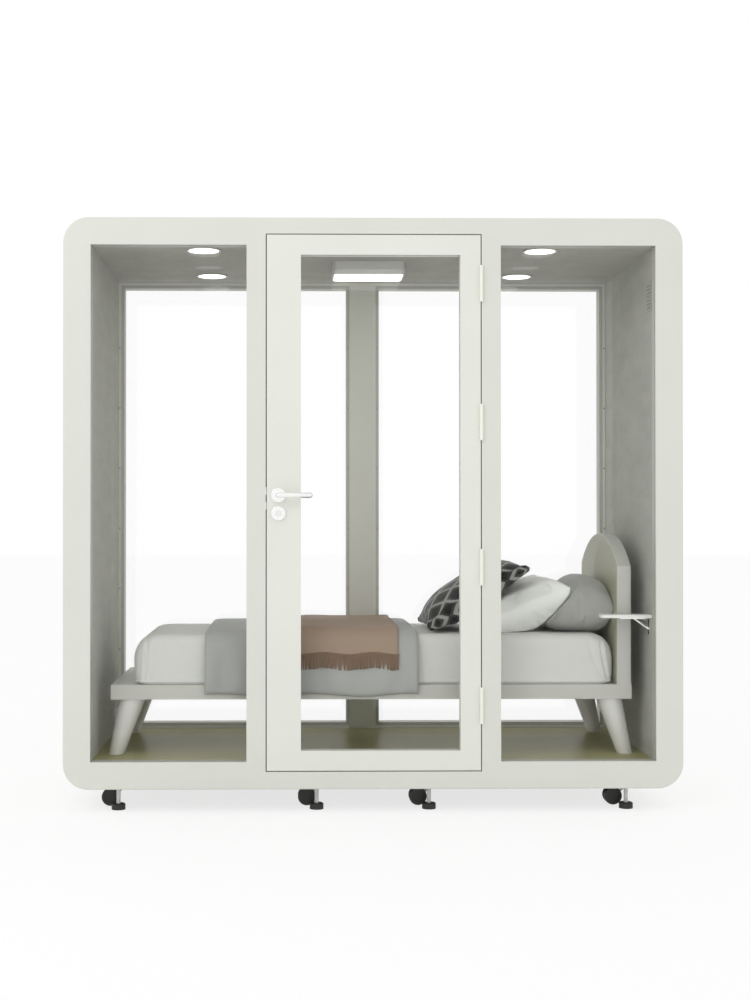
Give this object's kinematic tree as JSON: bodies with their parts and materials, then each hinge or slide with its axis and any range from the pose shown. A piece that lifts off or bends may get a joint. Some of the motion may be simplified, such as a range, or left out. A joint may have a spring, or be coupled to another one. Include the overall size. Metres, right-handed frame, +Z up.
{
  "type": "office nap booth",
  "caption": "Free-standing glazed office booth with rounded corners, a hinged glass door, acoustic lining, ceiling lights, levelling feet, casters and a single bed inside.",
  "frame": {"origin": "on the floor, under the middle of the whole booth with its handle and inlet", "axes": "+X to the right seen from the front, +Y from the door to the back, +Z up"},
  "size_m": [2.424, 1.055, 2.3],
  "materials": {
    "shell_white": "warm white powder coat, fine matt texture",
    "door_white": "warm white powder coat, fine matt texture",
    "chassis_steel": "grey primer paint",
    "floor_vinyl": "khaki-grey vinyl on board, semi-gloss",
    "wall_felt": "mottled grey polyester felt",
    "ceiling_felt": "mottled grey polyester felt",
    "insulation": "open mineral foam",
    "clear_glass": "clear laminated glass",
    "grey_rubber": "matt pale grey rubber",
    "trim_grey": "painted trim",
    "hinge_cream": "cream paint",
    "lock_steel": "brushed",
    "satin_white_metal": "satin bright metal",
    "lamp_white": "white paint",
    "lamp_opal": "opal, lit",
    "light_box_grey": "grey paint",
    "black_plastic": "moulded black plastic",
    "shelf_white": "white laminate",
    "caster_grey": "light grey paint",
    "wheel_black": "black nylon",
    "foot_steel": "zinc plated rod, black pad",
    "bed_paint": "pale grey lacquer",
    "headboard_paint": "pale grey-green lacquer",
    "sheet_white": "white cotton sheet",
    "blanket_grey": "grey quilted cotton",
    "throw_tan": "tan woven throw with fringe",
    "pillow_white": "white and pale grey cotton",
    "plaid_cloth": "black and grey woven check"
  },
  "bodies": {
    "booth": {"front_frame": "shell_white", "back_frame": "shell_white", "cladding_panels": "shell_white", "corner_profiles": "shell_white", "base_chassis": "chassis_steel", "floor_deck": "floor_vinyl", "acoustic_panels": "wall_felt", "ceiling_panel": "ceiling_felt", "sound_insulation": "insulation", "fixed_panes": "clear_glass", "rubber_seals": "grey_rubber", "glazing_beads": "trim_grey", "hinge_frame_leaves": "hinge_cream", "strike_plate": "lock_steel", "downlight_trims": "lamp_white", "downlight_lenses": "lamp_opal", "light_box": "light_box_grey", "light_diffuser": "lamp_opal", "vent_grille": "trim_grey", "fan_housing": "black_plastic", "power_inlet": "black_plastic", "shelf_board": "shelf_white", "shelf_bracket": "satin_white_metal", "caster_yokes": "caster_grey", "bed_frame": "bed_paint", "bed_legs": "bed_paint", "headboard": "headboard_paint", "mattress": "sheet_white", "blanket": "blanket_grey", "throw": "throw_tan", "pillows": "pillow_white", "plaid_cushion": "plaid_cloth"},
    "door": {"door_frame": "door_white", "door_pane": "clear_glass", "door_gaskets": "grey_rubber", "door_bead": "door_white", "hinge_door_leaves": "hinge_cream", "lock_case": "lock_steel", "door_roses": "satin_white_metal"},
    "lever": {"lever_handle": "satin_white_metal"},
    "latch": {"latch_bolt": "lock_steel"},
    "thumb_turn": {"thumb_turn": "satin_white_metal"},
    "dead_bolt": {"dead_bolt": "lock_steel"},
    "fan": {"fan_rotor": "black_plastic"},
    "caster_front_left": {"caster_wheels_1": "wheel_black"},
    "foot_front_left": {"levelling_foot_1": "foot_steel"},
    "caster_front_mid_left": {"caster_wheels_2": "wheel_black"},
    "foot_front_mid_left": {"levelling_foot_2": "foot_steel"},
    "caster_front_mid_right": {"caster_wheels_3": "wheel_black"},
    "foot_front_mid_right": {"levelling_foot_3": "foot_steel"},
    "caster_front_right": {"caster_wheels_4": "wheel_black"},
    "foot_front_right": {"levelling_foot_4": "foot_steel"},
    "caster_back_left": {"caster_wheels_5": "wheel_black"},
    "foot_back_left": {"levelling_foot_5": "foot_steel"},
    "caster_back_mid_left": {"caster_wheels_6": "wheel_black"},
    "foot_back_mid_left": {"levelling_foot_6": "foot_steel"},
    "caster_back_mid_right": {"caster_wheels_7": "wheel_black"},
    "foot_back_mid_right": {"levelling_foot_7": "foot_steel"},
    "caster_back_right": {"caster_wheels_8": "wheel_black"},
    "foot_back_right": {"levelling_foot_8": "foot_steel"}
  },
  "joints": [
    {"name": "door_swing", "type": "hinge", "parent": "booth", "child": "door", "pos_m": [0.404, -0.4799, 1.1975], "axis": [0, 0, 1], "range_deg": [0, 110]},
    {"name": "lever_turn", "type": "hinge", "parent": "door", "child": "lever", "pos_m": [-0.381, -0.4725, 1.225], "axis": [0, 1, 0], "range_deg": [0, 45], "stiffness_Nm_per_rad": 1.2, "springref_deg": -34.38},
    {"name": "latch_slide", "type": "slide", "parent": "door", "child": "latch", "axis": [1, 0, 0], "range_m": [0, 0.0125]},
    {"name": "thumb_turn_turn", "type": "hinge", "parent": "door", "child": "thumb_turn", "pos_m": [-0.381, -0.4725, 1.155], "axis": [0, 1, 0], "range_deg": [0, 90]},
    {"name": "dead_bolt_slide", "type": "slide", "parent": "door", "child": "dead_bolt", "axis": [-1, 0, 0], "range_m": [0, 0.02]},
    {"name": "fan_spin", "type": "hinge", "parent": "booth", "child": "fan", "pos_m": [1.106, -0.3715, 2.01], "axis": [1, 0, 0], "continuous": true},
    {"name": "wheel_spin_front_left", "type": "hinge", "parent": "booth", "child": "caster_front_left", "pos_m": [-1.044, -0.3145, 0.037], "axis": [0, 1, 0], "continuous": true},
    {"name": "wheel_spin_front_mid_left", "type": "hinge", "parent": "booth", "child": "caster_front_mid_left", "pos_m": [-0.27, -0.3145, 0.037], "axis": [0, 1, 0], "continuous": true},
    {"name": "wheel_spin_front_mid_right", "type": "hinge", "parent": "booth", "child": "caster_front_mid_right", "pos_m": [0.17, -0.3145, 0.037], "axis": [0, 1, 0], "continuous": true},
    {"name": "wheel_spin_front_right", "type": "hinge", "parent": "booth", "child": "caster_front_right", "pos_m": [0.944, -0.3145, 0.037], "axis": [0, 1, 0], "continuous": true},
    {"name": "wheel_spin_back_left", "type": "hinge", "parent": "booth", "child": "caster_back_left", "pos_m": [-1.044, 0.3415, 0.037], "axis": [0, 1, 0], "continuous": true},
    {"name": "wheel_spin_back_mid_left", "type": "hinge", "parent": "booth", "child": "caster_back_mid_left", "pos_m": [-0.27, 0.3415, 0.037], "axis": [0, 1, 0], "continuous": true},
    {"name": "wheel_spin_back_mid_right", "type": "hinge", "parent": "booth", "child": "caster_back_mid_right", "pos_m": [0.17, 0.3415, 0.037], "axis": [0, 1, 0], "continuous": true},
    {"name": "wheel_spin_back_right", "type": "hinge", "parent": "booth", "child": "caster_back_right", "pos_m": [0.944, 0.3415, 0.037], "axis": [0, 1, 0], "continuous": true},
    {"name": "foot_level_front_left", "type": "slide", "parent": "booth", "child": "foot_front_left", "axis": [0, 0, -1], "range_m": [-0.018, 0.018]},
    {"name": "foot_level_front_mid_left", "type": "slide", "parent": "booth", "child": "foot_front_mid_left", "axis": [0, 0, -1], "range_m": [-0.018, 0.018]},
    {"name": "foot_level_front_mid_right", "type": "slide", "parent": "booth", "child": "foot_front_mid_right", "axis": [0, 0, -1], "range_m": [-0.018, 0.018]},
    {"name": "foot_level_front_right", "type": "slide", "parent": "booth", "child": "foot_front_right", "axis": [0, 0, -1], "range_m": [-0.018, 0.018]},
    {"name": "foot_level_back_left", "type": "slide", "parent": "booth", "child": "foot_back_left", "axis": [0, 0, -1], "range_m": [-0.018, 0.018]},
    {"name": "foot_level_back_mid_left", "type": "slide", "parent": "booth", "child": "foot_back_mid_left", "axis": [0, 0, -1], "range_m": [-0.018, 0.018]},
    {"name": "foot_level_back_mid_right", "type": "slide", "parent": "booth", "child": "foot_back_mid_right", "axis": [0, 0, -1], "range_m": [-0.018, 0.018]},
    {"name": "foot_level_back_right", "type": "slide", "parent": "booth", "child": "foot_back_right", "axis": [0, 0, -1], "range_m": [-0.018, 0.018]}
  ],
  "couplings": [
    {"joint": "latch_slide", "follows": "lever_turn", "m_per_rad": 0.0153},
    {"joint": "dead_bolt_slide", "follows": "thumb_turn_turn", "m_per_rad": 0.0127}
  ]
}
